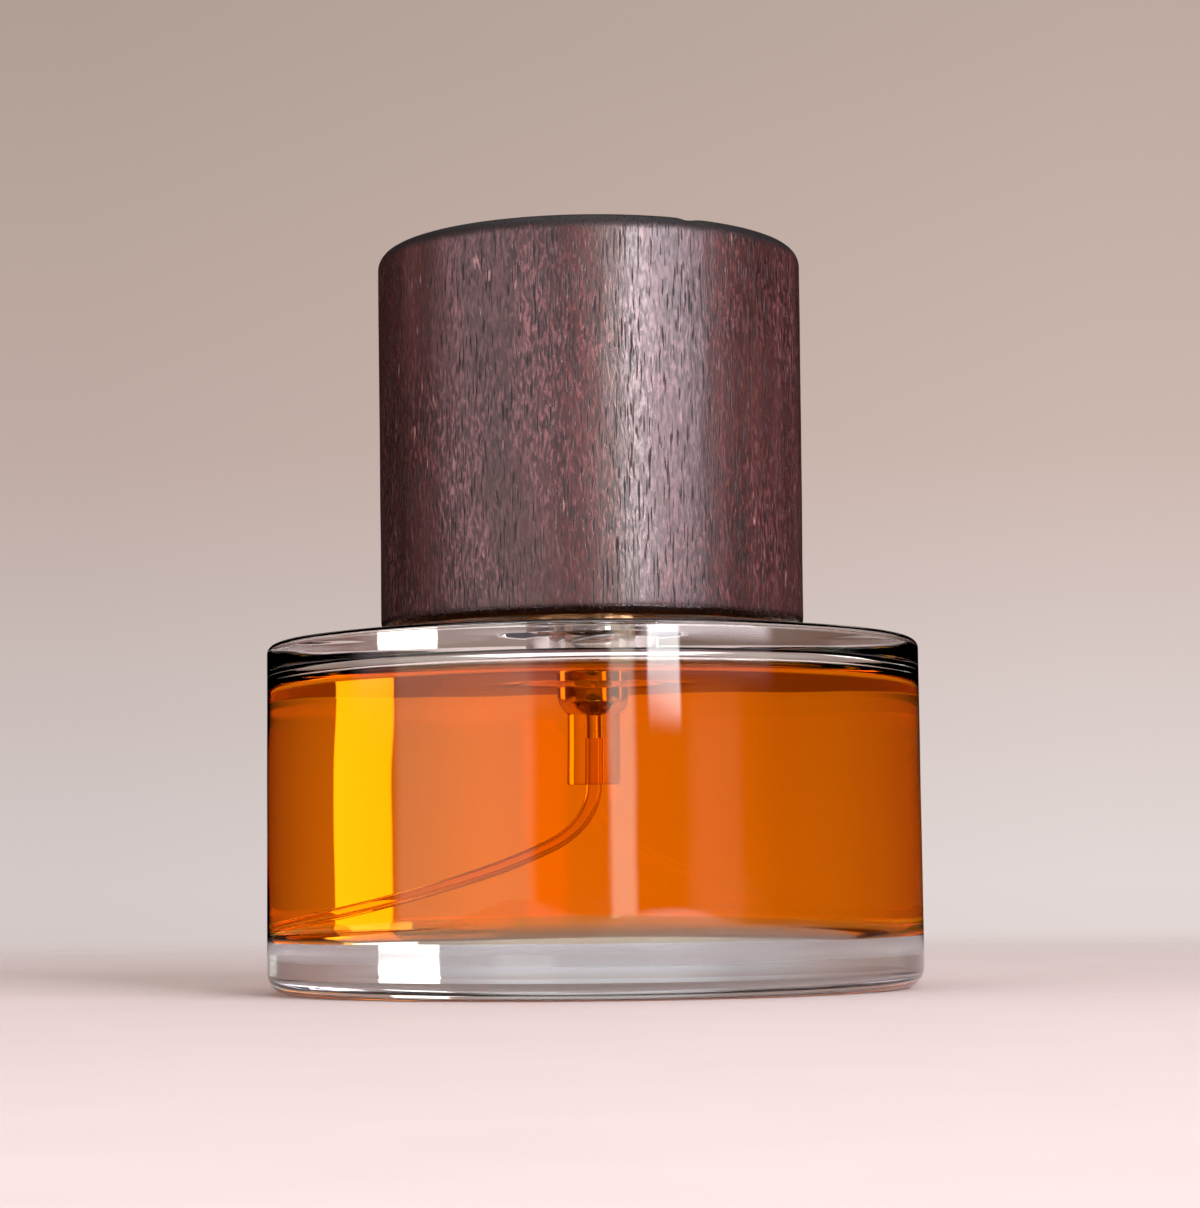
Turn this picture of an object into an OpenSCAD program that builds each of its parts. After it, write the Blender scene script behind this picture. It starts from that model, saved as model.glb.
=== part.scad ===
// Aftershave bottle: round glass flask, crimped spray pump and a turned wooden cap.
// Millimetres, +Z up, origin at the centre of the face that the bottle stands on.

/* [Glass bottle] */
// Outer radius of the round bottle
bottle_r = 36.75; // [28:0.05:48]
// Height of the shoulder above the table
bottle_h = 38.8; // [32:0.1:60]
// Thickness of the side wall
wall_t = 2.85; // [2:0.05:4.5]
// Thickness of the base where it meets the side wall
floor_t = 5.7; // [4:0.1:8]
// Thickness of the shoulder
shoulder_t = 2.8; // [2:0.1:4]
// Rise of the domed inner floor at its centre
punt_rise = 2.8; // [0.5:0.1:3.5]
// Rounding of the outer bottom edge
foot_round = 2.4; // [1:0.1:3.5]
// Rounding of the outer shoulder edge
shoulder_round = 0.95; // [0.5:0.05:2]
// Rounding of the inner corners
inner_round = 2.2; // [1:0.1:3]
// Width of the ring that the bottle stands on
foot_w = 4.35; // [2:0.05:8]
// Depth of the hollow under the base
recess_depth = 0.8; // [0.3:0.1:1.5]
// Air space between the liquid and the shoulder
ullage = 2.2; // [0.5:0.1:8]

/* [Neck] */
// Gap between the pump's barrel and the neck bore
neck_bore_gap = 0.8; // [0.3:0.05:1.5]
// Wall of the neck below its ring
neck_t = 1.5; // [1.2:0.05:2.5]
// Width of the step under the ring that the pump is crimped to
ring_w = 1; // [0.8:0.05:1.5]
// Height of the neck above the shoulder
neck_h = 7; // [6:0.1:9]
// Height of the neck ring
ring_h = 3; // [2:0.1:3.4]

/* [Pump housing] */
// Thickness of the neck gasket
gasket_t = 0.8; // [0.5:0.05:1.2]
// Thickness of the housing flange
flange_t = 1; // [0.8:0.05:1.4]
// Radius of the pumping chamber
chamber_r = 3.2; // [2.9:0.05:4]
// Wall of the chamber
barrel_t = 1; // [0.6:0.05:1.2]
// Wall of the valve bowl below the chamber
bowl_t = 0.9; // [0.7:0.05:1.2]
// Space round the check ball
ball_side_gap = 0.85; // [0.6:0.05:1]
// Depth of the valve bowl below the chamber floor
bowl_depth = 5.6; // [5.2:0.1:8]
// Outer radius of the tail that holds the dip tube
tail_r = 2.2; // [1.8:0.05:2.5]
// Length of the tail below the valve bowl
tail_len = 6.8; // [4:0.1:8]
// Radius of the check ball
ball_r = 1.25; // [1:0.05:1.6]
// How far the check ball lifts
ball_lift = 0.8; // [0.4:0.1:1]

/* [Dip tube] */
// Outer radius of the dip tube
tube_r = 0.67; // [0.5:0.01:0.8]
// Wall of the dip tube
tube_t = 0.25; // [0.15:0.01:0.3]
// Length of dip tube pushed up into the tail
tube_grip = 5.1; // [3:0.1:6]
// Space kept between the tube's end and the side wall
tube_wall_gap = 3.9; // [3:0.1:6]

/* [Piston and stem] */
// Travel of the pump
stroke = 4.5; // [3:0.1:6]
// Outer radius of the stem
stem_r = 1.5; // [1.4:0.05:1.7]
// Radius of the bore through the stem
stem_bore_r = 0.6; // [0.4:0.05:0.7]
// Radius of the stem's waist, which the piston rides on
waist_r = 1.2; // [1.05:0.05:1.25]
// Length of the stem that the actuator is pushed onto
stem_grip = 3.3; // [2:0.1:5]
// Height of the piston
piston_h = 1.8; // [1.4:0.1:2]
// How far the piston slips on the stem to open the outlet
piston_slip = 0.4; // [0.2:0.05:0.6]
// Wire diameter of the return spring
wire_d = 0.4; // [0.3:0.02:0.5]
// Number of turns of the return spring
spring_turns = 4; // [3:0.5:6]

/* [Ferrule and collar] */
// Thickness of the ferrule's sheet
ferrule_t = 0.4; // [0.3:0.05:0.5]
// Outer radius of the ferrule's turret
turret_r = 4.9; // [4.2:0.05:6]
// Height of the turret above the housing flange
turret_h = 2.9; // [2.4:0.1:4]
// Wall of the collar's plastic insert
insert_t = 0.5; // [0.4:0.05:0.8]
// Wall of the collar's metal shell
collar_t = 0.4; // [0.3:0.05:0.5]
// How far the collar comes up round the raised actuator
collar_lap = 1.7; // [1:0.1:3]
// Depth of the groove round the collar's foot
groove_depth = 0.15; // [0.05:0.05:0.25]
// Height of that groove
groove_h = 1.8; // [1:0.1:2.5]
// Gap between the collar and the glass shoulder
collar_gap = 0.3; // [0.2:0.05:0.6]

/* [Actuator] */
// Wall of the actuator's core round the ferrule's turret
core_wall_t = 0.67; // [0.5:0.01:1.5]
// From the nozzle's axis to the actuator's top
nozzle_drop = 3; // [2.4:0.1:5]
// Wall of the actuator's metal shell
actuator_t = 0.4; // [0.3:0.05:0.5]
// Radius of the nozzle insert
nozzle_r = 1.6; // [1.3:0.05:1.8]
// Length of the nozzle insert
nozzle_len = 2.1; // [1.8:0.1:2.4]

/* [Cap] */
// Outer radius of the wooden cap at its top
cap_top_r = 24.2; // [20:0.05:30]
// Outer radius of the wooden cap at its bottom
cap_low_r = 24; // [20:0.05:30]
// Height of the wooden cap
cap_h = 43.2; // [36:0.1:56]
// Gap between the cap and the glass shoulder
cap_gap = 1.6; // [1:0.1:3]
// Rounding of the cap's top edge
cap_top_round = 1.8; // [0.6:0.1:3]
// Rounding of the cap's bottom edge
cap_low_round = 1.1; // [0.6:0.1:2]
// Wall of the cap liner round the collar
liner_t = 1.2; // [0.9:0.1:1.6]
// Width of the space that the liner's outer ribs cross
liner_rib_w = 2; // [1.5:0.1:3.5]
// How far the liner is sunk into the cap's underside
liner_sink = 1.2; // [0.8:0.1:2]
// Height of the free space over the actuator
head_room = 5.7; // [5:0.1:7]
// Thickness of the steel weight
weight_t = 6; // [3:0.1:7]

/* [Hidden] */
$fn = 96;

// Clearances
run_gap = 0.03;      // a part that slides or turns in a bore, on the radius
stop_gap = 0.05;     // between a moving part and its stop
glue_gap = 0.1;      // a glued or snapped joint
free_gap = 0.25;     // a part that passes another without touching it
skirt_gap = 0.1;     // a skirt that slides over a turret
bottom_gap = 0.3;    // what is left under a pressed part at the end of its travel
cut = 1;             // how far a cutting shape runs past the face it cuts

// Heights, from the table up
ceiling_z = bottle_h - shoulder_t;
level_z = ceiling_z - ullage;
neck_top = bottle_h + neck_h;
gasket_top = neck_top + gasket_t;
flange_top = gasket_top + flange_t;
turret_top = flange_top + turret_h;
actuator_z = flange_top + ferrule_t + stroke + bottom_gap;
collar_top = actuator_z + collar_lap;
collar_z = bottle_h + collar_gap;
cap_z = bottle_h + cap_gap;
cap_top = cap_z + cap_h;

// Radii that follow from what fits inside what
flange_inset = 0.2;  // from the neck ring's edge to the housing flange
gasket_inset = 0.1;  // from the neck ring's edge to the gasket
grip_space = 0.375;  // round the collar, where the liner's grip ribs stand
button_space = 1.3;  // round the actuator, inside the liner
inner_r = bottle_r - wall_t;
recess_r = bottle_r - foot_round - foot_w;
barrel_r = chamber_r + barrel_t;
neck_bore_r = barrel_r + neck_bore_gap;
neck_r = neck_bore_r + neck_t;
ring_r = neck_r + ring_w;
bowl_bore_r = ball_r + ball_side_gap;
bowl_r = bowl_bore_r + bowl_t;
flange_r = ring_r - flange_inset;
gasket_r = ring_r - gasket_inset;
skirt_in_r = ring_r + stop_gap;
skirt_r = skirt_in_r + ferrule_t;
insert_in_r = skirt_r + stop_gap;
insert_r = insert_in_r + insert_t;
collar_r = insert_r + collar_t;
core_skirt_r = turret_r + skirt_gap;
core_r = core_skirt_r + core_wall_t;
actuator_r = core_r + run_gap + actuator_t;
collar_hole_r = actuator_r + free_gap;
liner_low_r = collar_r + grip_space;
liner_up_r = actuator_r + button_space;
liner_out_r = liner_low_r + liner_t;
liner_flange_r = liner_out_r + liner_rib_w;
cap_bore_r = liner_flange_r + glue_gap;

// Piston and stem, measured down from the gland
plug_h = 1.4;
stem_stop_t = 0.5;
head_t = 0.8;
head_side_gap = 0.6; // lets the liquid past the stem's head
spring_side_gap = 0.8;
head_r = chamber_r - head_side_gap;
plug_z = flange_top - plug_h;
stem_stop_z = plug_z - stop_gap - stem_stop_t;
piston_z = stem_stop_z - stop_gap - piston_slip - piston_h;
head_z = piston_z - stop_gap - head_t;
spring_r = chamber_r - spring_side_gap - wire_d / 2;
spring_slack = 0.45; // left in the spring when the pump is pressed right down
spring_pressed = (spring_turns + 1) * wire_d + spring_slack;
spring_high_z = head_z - stop_gap;
spring_low_z = spring_high_z - stroke - spring_pressed;

// Inlet valve: the ball rests on a cone of 45 degrees
cage_flange_t = 0.4;
chamber_z = spring_low_z - stop_gap - cage_flange_t;
bowl_z = chamber_z - bowl_depth;
tail_z = bowl_z - tail_len;
seat_hole_r = 0.55;
bowl_floor_t = 0.8;
chamber_floor_t = 0.8;
seat_z = bowl_z + bowl_floor_t;
ball_z = seat_z - seat_hole_r + ball_r * sqrt(2) + stop_gap;
cage_z = ball_z + ball_r + ball_lift + stop_gap;
cage_hole_r = 0.8 * ball_r; // too small for the ball to pass

// Collar and ferrule
crimp_t = 0.5;
gland_head_r = turret_r - ferrule_t - stop_gap;
seal_t = 0.8;
seal_r = 2.5;
ledge_t = 0.8;
insert_lift = 0.2;   // keeps the insert's edge out of sight in the shell
insert_z = collar_z + insert_lift;
collar_round = 0.6;

// Actuator, set so that the skirt stops just above the ferrule at full stroke
boss_r = 2.6;
boss_stop = 0.2;     // boss over the turret at full stroke
boss_z = turret_top + stroke + boss_stop;
stem_top = boss_z + stem_grip;
socket_top = stem_top + skirt_gap;
channel_up = 0.9;    // from the stem's socket up to the nozzle's channel
nozzle_z = socket_top + channel_up;
actuator_top = nozzle_z + nozzle_drop;
core_lift = 0.4;     // keeps the core's edge out of sight in the shell
core_z = actuator_z + core_lift;
core_top = actuator_top - actuator_t - run_gap;
nozzle_out = 0.2;    // nozzle's face in front of the core
post_r = 0.7;
channel_r = 0.5;

// Cap
seat_step_z = collar_top + stop_gap;
liner_z = cap_z + liner_sink;
liner_ceiling_z = actuator_top + head_room;
liner_top = liner_ceiling_z + liner_t;
weight_z = liner_top + glue_gap;
bore_top = weight_z + weight_t + glue_gap;
liner_ribs = 8;
grip_ribs = 6;
rib_t = 1;

// Dip tube: a straight drop, then three bends that open out, then a short straight end.
// Each bend is [radius in first-bend radii, angle at its end].
bends = [[1, 58], [6, 68], [11, 79]];
end_straight = 0.4;
last = len(bends) - 1;
function bend_start(i) = i == 0 ? 0 : bends[i - 1][1];
function run_to(i) = i < 0 ? 0
    : run_to(i - 1) + bends[i][0] * (cos(bend_start(i)) - cos(bends[i][1]));
function drop_to(i) = i < 0 ? 0
    : drop_to(i - 1) + bends[i][0] * (sin(bends[i][1]) - sin(bend_start(i)));
run_k = run_to(last) + end_straight * sin(bends[last][1]);
drop_k = drop_to(last) + end_straight * cos(bends[last][1]);
tube_floor_gap = 0.1;
tube_lift = tube_r + tube_floor_gap;
// The largest first bend with which the end still clears the domed floor that falls away from it
dome_k = punt_rise * pow(run_k / inner_r, 2);
dome_drop = tail_z - floor_t - punt_rise - tube_lift;
deep_bend_r = (drop_k - sqrt(max(0, drop_k * drop_k - 4 * dome_k * dome_drop))) / (2 * dome_k);
bend_r = min((inner_r - tube_wall_gap) / run_k, deep_bend_r);
tube_end_z = floor_t + punt_rise - dome_k * bend_r * bend_r + tube_lift;
bend_z = tube_end_z + bend_r * drop_k;
tube_top_z = tail_z + tube_grip;
tube_sides = 16;
bend_step = 2.5;     // degrees between the rings of a bend

// Half section of a round body with rounded lower and upper edges
module rounded_section(r, z0, z1, low, high) {
    translate([0, z0 + low]) square([r, z1 - z0 - low - high]);
    translate([0, z0]) square([r - low, z1 - z0 - high]);
    translate([0, z0 + low]) square([r - high, z1 - z0 - low]);
    translate([r - low, z0 + low]) circle(low);
    translate([r - high, z1 - high]) circle(high);
}

// Plain round solid between two heights
module disc(r, z0, z1) {
    translate([0, 0, z0]) cylinder(r = r, h = z1 - z0);
}

// Round solid with a bore
module ring(r, bore, z0, z1) {
    difference() {
        disc(r, z0, z1);
        disc(bore, z0 - cut, z1 + cut);
    }
}

// Radius of the ball whose cap has this base radius and this height
function dome_r(base, rise) = (base * base + rise * rise) / (2 * rise);

// The space inside the bottle below its neck
module cavity() {
    punt = dome_r(inner_r, punt_rise);
    corner_z = floor_t - inner_round / 4; // lets the corner run tangent into the dome
    rotate_extrude() intersection() {
        difference() {
            rounded_section(inner_r, corner_z, ceiling_z, inner_round, inner_round);
            translate([0, floor_t + punt_rise - punt]) circle(punt, $fn = 720);
        }
        square([inner_r + cut, ceiling_z + cut]);
    }
}

module glass_bottle() {
    hollow = dome_r(recess_r, recess_depth);
    neck_fillet = 0.8;
    ring_round = 0.5;
    color([0.86, 0.93, 0.92, 0.4]) difference() {
        union() {
            rotate_extrude() rounded_section(bottle_r, 0, bottle_h, foot_round, shoulder_round);
            disc(neck_r, bottle_h - cut, neck_top - ring_round);
            rotate_extrude()
                rounded_section(ring_r, neck_top - ring_h, neck_top, ring_round, ring_round);
            rotate_extrude() difference() {
                translate([0, bottle_h - cut]) square([neck_r + neck_fillet, cut + neck_fillet]);
                translate([neck_r + neck_fillet, bottle_h + neck_fillet]) circle(neck_fillet);
            }
        }
        cavity();
        disc(neck_bore_r, ceiling_z - inner_round, neck_top + cut);
        translate([0, 0, recess_depth - hollow]) sphere(hollow, $fn = 720);
    }
}

// The housing's outside below the flange, which the liquid fits round
module housing_outside() {
    disc(barrel_r, chamber_z - chamber_floor_t, flange_top);
    disc(bowl_r, bowl_z + bowl_r, chamber_z);
    translate([0, 0, bowl_z + bowl_r]) sphere(bowl_r);
    disc(tail_r, tail_z, bowl_z + bowl_r);
}

// Places along the dip tube as [x, z, angle from straight down]; reach runs past both ends
function tube_stations(reach) = concat(
    [[0, tube_top_z + reach, 0], [0, bend_z, 0]],
    [for (i = [0 : last])
        let (a0 = bend_start(i), a1 = bends[i][1], n = ceil((a1 - a0) / bend_step))
        for (j = [1 : n])
            let (a = a0 + (a1 - a0) * j / n)
            [-bend_r * (run_to(i - 1) + bends[i][0] * (cos(a0) - cos(a))),
             bend_z - bend_r * (drop_to(i - 1) + bends[i][0] * (sin(a) - sin(a0))), a]],
    [let (a = bends[last][1], tail = end_straight * bend_r + reach)
        [-bend_r * run_to(last) - tail * sin(a), bend_z - bend_r * drop_to(last) - tail * cos(a), a]]);

// Skin and end faces of a tube of rings, each ring of so many sides
function tube_faces(rings, sides) = concat(
    [for (i = [0 : rings - 2], k = [0 : sides - 1])
        let (m = (k + 1) % sides)
        [i * sides + k, i * sides + m, (i + 1) * sides + m, (i + 1) * sides + k]],
    [[for (k = [sides - 1 : -1 : 0]) k], [for (k = [0 : sides - 1]) (rings - 1) * sides + k]]);

// The dip tube's whole length at one radius
module tube_run(r, reach) {
    stations = tube_stations(reach);
    points = [for (p = stations, k = [0 : tube_sides - 1])
        let (b = 360 * k / tube_sides)
        [p[0] + r * cos(b) * cos(p[2]), r * sin(b), p[1] - r * cos(b) * sin(p[2])]];
    polyhedron(points, tube_faces(len(stations), tube_sides), convexity = 6);
}

module aftershave_fill() {
    color([0.93, 0.5, 0.07, 0.6]) difference() {
        cavity();
        disc(inner_r + cut, level_z, bottle_h);
        housing_outside();
        tube_run(tube_r, 0);
    }
}

module dip_tube() {
    color([0.95, 0.9, 0.8, 0.6]) difference() {
        tube_run(tube_r, 0);
        tube_run(tube_r - tube_t, cut);
    }
}

module pump_housing() {
    color([0.9, 0.88, 0.84]) difference() {
        union() {
            housing_outside();
            disc(flange_r, gasket_top, flange_top);
        }
        disc(chamber_r, chamber_z, flange_top + cut);
        disc(bowl_bore_r, seat_z + bowl_bore_r - seat_hole_r, chamber_z + cut);
        translate([0, 0, seat_z])
            cylinder(r1 = seat_hole_r, r2 = bowl_bore_r, h = bowl_bore_r - seat_hole_r);
        disc(seat_hole_r, tube_top_z, seat_z + cut);
        disc(tube_r, tail_z - cut, tube_top_z);
    }
}

module check_ball() {
    color("silver") translate([0, 0, ball_z]) sphere(ball_r);
}

module ball_cage() {
    slot_w = 0.6;
    slot_h = 0.7;
    color([0.8, 0.82, 0.85]) difference() {
        union() {
            disc(bowl_bore_r, cage_z, chamber_z);
            disc(chamber_r - run_gap, chamber_z, chamber_z + cage_flange_t);
        }
        disc(cage_hole_r, cage_z - cut, chamber_z + cut);
        for (a = [0, 90]) rotate([0, 0, a])
            translate([-bowl_bore_r - cut, -slot_w / 2, cage_z - cut])
                cube([2 * (bowl_bore_r + cut), slot_w, slot_h + cut]);
    }
}

module return_spring() {
    sides = 8;
    steps_per_turn = 24;
    steps = round(spring_turns * steps_per_turn);
    wire_r = wire_d / 2;
    low = spring_low_z + wire_r;
    pitch = (spring_high_z - wire_r - low) / spring_turns;
    lean = atan(pitch / (2 * PI * spring_r));
    // Each ring of points stands square to the wire
    points = [for (i = [0 : steps], k = [0 : sides - 1])
        let (a = 360 * i / steps_per_turn, b = 360 * k / sides,
             out = spring_r + wire_r * cos(b), up = wire_r * sin(b))
        [out * cos(a) + up * sin(lean) * sin(a),
         out * sin(a) - up * sin(lean) * cos(a),
         low + pitch * a / 360 + up * cos(lean)]];
    color([0.75, 0.76, 0.78])
        polyhedron(points, tube_faces(steps + 1, sides), convexity = 10);
}

module piston() {
    lip_h = 0.5;
    lip_w = 0.3;
    color([0.95, 0.95, 0.92]) difference() {
        union() {
            disc(chamber_r - run_gap, piston_z, piston_z + lip_h);
            disc(chamber_r - lip_w, piston_z, piston_z + piston_h);
            disc(chamber_r - run_gap, piston_z + piston_h - lip_h, piston_z + piston_h);
        }
        disc(waist_r + run_gap, piston_z - cut, piston_z + piston_h + cut);
    }
}

module valve_stem() {
    port_r = 0.3;
    stem_stop_w = 0.9;
    stem_stop_r = waist_r + stem_stop_w;
    color([0.93, 0.93, 0.9]) difference() {
        union() {
            disc(head_r, head_z, head_z + head_t);
            disc(waist_r, head_z, stem_stop_z + cut / 2);
            disc(stem_stop_r, stem_stop_z, stem_stop_z + stem_stop_t);
            disc(stem_r, stem_stop_z, stem_top);
        }
        disc(stem_bore_r, head_z + head_t, stem_top + cut);
        // Side ports, covered by the piston until it slips
        translate([-waist_r - cut, 0, piston_z + 2 * port_r]) rotate([0, 90, 0])
            cylinder(r = port_r, h = 2 * (waist_r + cut));
    }
}

module stem_gland() {
    color([0.85, 0.85, 0.83]) difference() {
        union() {
            disc(chamber_r, plug_z, flange_top);
            disc(gland_head_r, flange_top, turret_top - ferrule_t);
        }
        disc(stem_r + run_gap, plug_z - cut, turret_top);
        disc(seal_r, turret_top - ferrule_t - seal_t, turret_top);
    }
}

module stem_seal() {
    color([0.2, 0.2, 0.2])
        ring(seal_r, stem_r + run_gap, turret_top - ferrule_t - seal_t, turret_top - ferrule_t);
}

module neck_gasket() {
    color([0.25, 0.25, 0.25]) ring(gasket_r, barrel_r + stop_gap, neck_top, gasket_top);
}

module crimp_ferrule() {
    crimp_z = neck_top - ring_h - stop_gap - crimp_t;
    roll_round = 0.2;
    turret_hole_gap = 0.5;
    color([0.82, 0.83, 0.85]) {
        ring(skirt_r, skirt_in_r, crimp_z + crimp_t, flange_top + ferrule_t);
        ring(skirt_in_r, turret_r - ferrule_t, flange_top, flange_top + ferrule_t);
        // Lower edge rolled in under the neck ring
        rotate_extrude() difference() {
            rounded_section(skirt_r, crimp_z, crimp_z + crimp_t, roll_round, roll_round);
            translate([0, crimp_z - cut]) square([neck_r + free_gap, crimp_t + 2 * cut]);
        }
        ring(turret_r, turret_r - ferrule_t, flange_top, turret_top);
        ring(turret_r, stem_r + turret_hole_gap, turret_top - ferrule_t, turret_top);
    }
}

module collar_insert() {
    bead_drop = 2;
    bead_h = 0.6;
    bead_neck_gap = 1;
    bead_z = neck_top - ring_h - bead_drop;
    top_z = collar_top - collar_t;
    color([0.12, 0.12, 0.13]) {
        ring(insert_r, insert_in_r, insert_z, top_z);
        // Ledge that sits on the ferrule
        ring(insert_in_r, collar_hole_r, flange_top + ferrule_t + stop_gap,
             flange_top + ferrule_t + stop_gap + ledge_t);
        // Snap bead under the ferrule's rolled edge
        ring(insert_in_r, neck_r + bead_neck_gap, bead_z, bead_z + bead_h);
        ring(insert_in_r, collar_hole_r, top_z - ledge_t, top_z);
    }
}

module collar_shell() {
    edge_round = 0.15;
    groove_up = 1; // from the collar's foot to the groove
    groove_r = dome_r(groove_h / 2, groove_depth);
    color([0.83, 0.62, 0.35]) rotate_extrude() difference() {
        rounded_section(collar_r, collar_z, collar_top, edge_round, collar_round);
        translate([collar_r - groove_depth + groove_r, collar_z + groove_up + groove_h / 2])
            circle(groove_r);
        translate([0, collar_z - cut]) square([insert_r, collar_top - collar_t - collar_z + cut]);
        square([collar_hole_r, collar_top + cut]);
    }
}

// Solid that the nozzle sits in or is made from, lying along -Y
module nozzle_bar(r, from_y, to_y) {
    translate([0, -to_y, nozzle_z]) rotate([90, 0, 0]) cylinder(r = r, h = from_y - to_y);
}

module actuator_core() {
    web_t = 1.2;
    post_inset = 0.9;
    color([0.9, 0.9, 0.9]) difference() {
        union() {
            disc(core_r, socket_top - web_t, core_top);
            ring(core_r, core_skirt_r, core_z, socket_top);
            disc(boss_r, boss_z, socket_top);
        }
        disc(stem_r + run_gap, boss_z - cut, socket_top);
        disc(channel_r, socket_top - cut, nozzle_z);
        nozzle_bar(channel_r, core_r, 0);
        // Pocket for the nozzle, with the post that it is pushed onto
        difference() {
            nozzle_bar(nozzle_r, core_r + cut, core_r - nozzle_len);
            nozzle_bar(post_r, core_r - post_inset, core_r - nozzle_len - cut);
        }
    }
}

module actuator_shell() {
    edge_round = 0.1;
    top_round = 0.5;
    window_gap = 0.1;
    color([0.83, 0.62, 0.35]) difference() {
        rotate_extrude()
            rounded_section(actuator_r, actuator_z, actuator_top, edge_round, top_round);
        disc(actuator_r - actuator_t, actuator_z - cut, actuator_top - actuator_t);
        nozzle_bar(nozzle_r + window_gap, actuator_r + cut, core_r - cut);
    }
}

module nozzle_insert() {
    orifice_r = 0.2;
    face_t = 0.5;
    cone_depth = 0.3;
    cone_h = 0.4;
    face_y = core_r + nozzle_out;
    color([0.1, 0.1, 0.1]) difference() {
        nozzle_bar(nozzle_r, face_y, core_r - nozzle_len);
        nozzle_bar(post_r + run_gap, face_y - face_t, core_r - nozzle_len - cut);
        nozzle_bar(orifice_r, core_r + cut, core_r - nozzle_len);
        // Cone of 45 degrees that opens the spray
        translate([0, cone_depth - face_y, nozzle_z]) rotate([90, 0, 0])
            cylinder(r1 = orifice_r, r2 = orifice_r + cone_h, h = cone_h);
    }
}

module cap_wood() {
    low = cap_low_r - cap_low_round;
    top = cap_top_r - cap_top_round;
    color([0.3, 0.18, 0.16]) difference() {
        rotate_extrude() {
            polygon([[0, cap_z], [low, cap_z], [cap_low_r, cap_z + cap_low_round],
                     [cap_top_r, cap_top - cap_top_round], [top, cap_top], [0, cap_top]]);
            translate([low, cap_z + cap_low_round]) circle(cap_low_round);
            translate([top, cap_top - cap_top_round]) circle(cap_top_round);
        }
        disc(cap_bore_r, cap_z - cut, bore_top);
    }
}

module cap_liner() {
    grip_lead = 1.4; // plain mouth below the grip ribs
    color([0.1, 0.09, 0.09]) difference() {
        union() {
            disc(liner_out_r, liner_z, liner_top);
            disc(liner_flange_r, liner_z, liner_z + liner_t);
            disc(liner_flange_r, liner_ceiling_z, liner_top);
            for (i = [0 : liner_ribs - 1]) rotate([0, 0, 360 * i / liner_ribs])
                translate([liner_out_r - rib_t / 2, -rib_t / 2, liner_z])
                    cube([liner_rib_w + rib_t / 2 - stop_gap, rib_t, liner_top - liner_z]);
        }
        difference() {
            disc(liner_low_r, liner_z - cut, seat_step_z);
            // Ribs that grip the collar
            for (i = [0 : grip_ribs - 1]) rotate([0, 0, 360 * (i + 0.5) / grip_ribs])
                translate([collar_r + stop_gap, -rib_t / 2, liner_z + grip_lead])
                    cube([grip_space + rib_t, rib_t, seat_step_z - liner_z]);
        }
        disc(liner_up_r, seat_step_z - cut, liner_ceiling_z);
    }
}

module cap_weight() {
    edge_round = 0.4;
    color([0.55, 0.56, 0.58]) rotate_extrude()
        rounded_section(liner_flange_r, weight_z, weight_z + weight_t, edge_round, edge_round);
}

glass_bottle();
aftershave_fill();
dip_tube();
pump_housing();
check_ball();
ball_cage();
return_spring();
piston();
valve_stem();
stem_gland();
stem_seal();
neck_gasket();
crimp_ferrule();
collar_insert();
collar_shell();
actuator_core();
actuator_shell();
nozzle_insert();
cap_wood();
cap_liner();
cap_weight();
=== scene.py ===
import math

import bpy
from mathutils import Matrix, Vector, noise


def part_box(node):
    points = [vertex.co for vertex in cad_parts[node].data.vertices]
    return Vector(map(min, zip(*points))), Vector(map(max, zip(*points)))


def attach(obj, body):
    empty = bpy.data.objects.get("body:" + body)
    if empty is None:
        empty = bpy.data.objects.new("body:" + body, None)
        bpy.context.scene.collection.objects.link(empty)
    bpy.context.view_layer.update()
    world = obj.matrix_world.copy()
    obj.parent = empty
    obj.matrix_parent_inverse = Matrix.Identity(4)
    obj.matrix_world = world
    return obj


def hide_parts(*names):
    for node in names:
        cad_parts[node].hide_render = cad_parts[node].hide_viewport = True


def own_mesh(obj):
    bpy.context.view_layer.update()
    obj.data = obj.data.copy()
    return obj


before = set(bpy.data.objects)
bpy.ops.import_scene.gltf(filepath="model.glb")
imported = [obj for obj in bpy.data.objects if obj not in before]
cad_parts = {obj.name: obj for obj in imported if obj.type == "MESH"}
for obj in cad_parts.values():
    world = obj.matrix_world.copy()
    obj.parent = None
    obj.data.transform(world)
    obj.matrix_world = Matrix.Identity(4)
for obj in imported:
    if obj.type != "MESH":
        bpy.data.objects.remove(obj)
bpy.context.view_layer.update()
mm = 0.001


# --- Glass bottle -----------------------------------------------------------------------------
# Heavy clear flask, blown in a mould and polished outside. The inner skin is a little uneven, the
# base is thick with a domed floor, and the neck ends in a ring that the pump is crimped to.
def bend(centre, radius, start, end, steps=10):
    """Points round a corner, as (distance from the axis, height); angles from straight out."""
    points = []
    for i in range(steps + 1):
        angle = math.radians(start + (end - start) * i / steps)
        points.append((centre[0] + radius * math.cos(angle), centre[1] + radius * math.sin(angle)))
    return points


def climb(start, end, step):
    """Points along a straight line, so that an uneven surface has room to show."""
    count = max(1, round(math.dist(start, end) / step))
    return [
        tuple(a + (b - a) * i / count for a, b in zip(start, end)) for i in range(1, count + 1)
    ]


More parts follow.
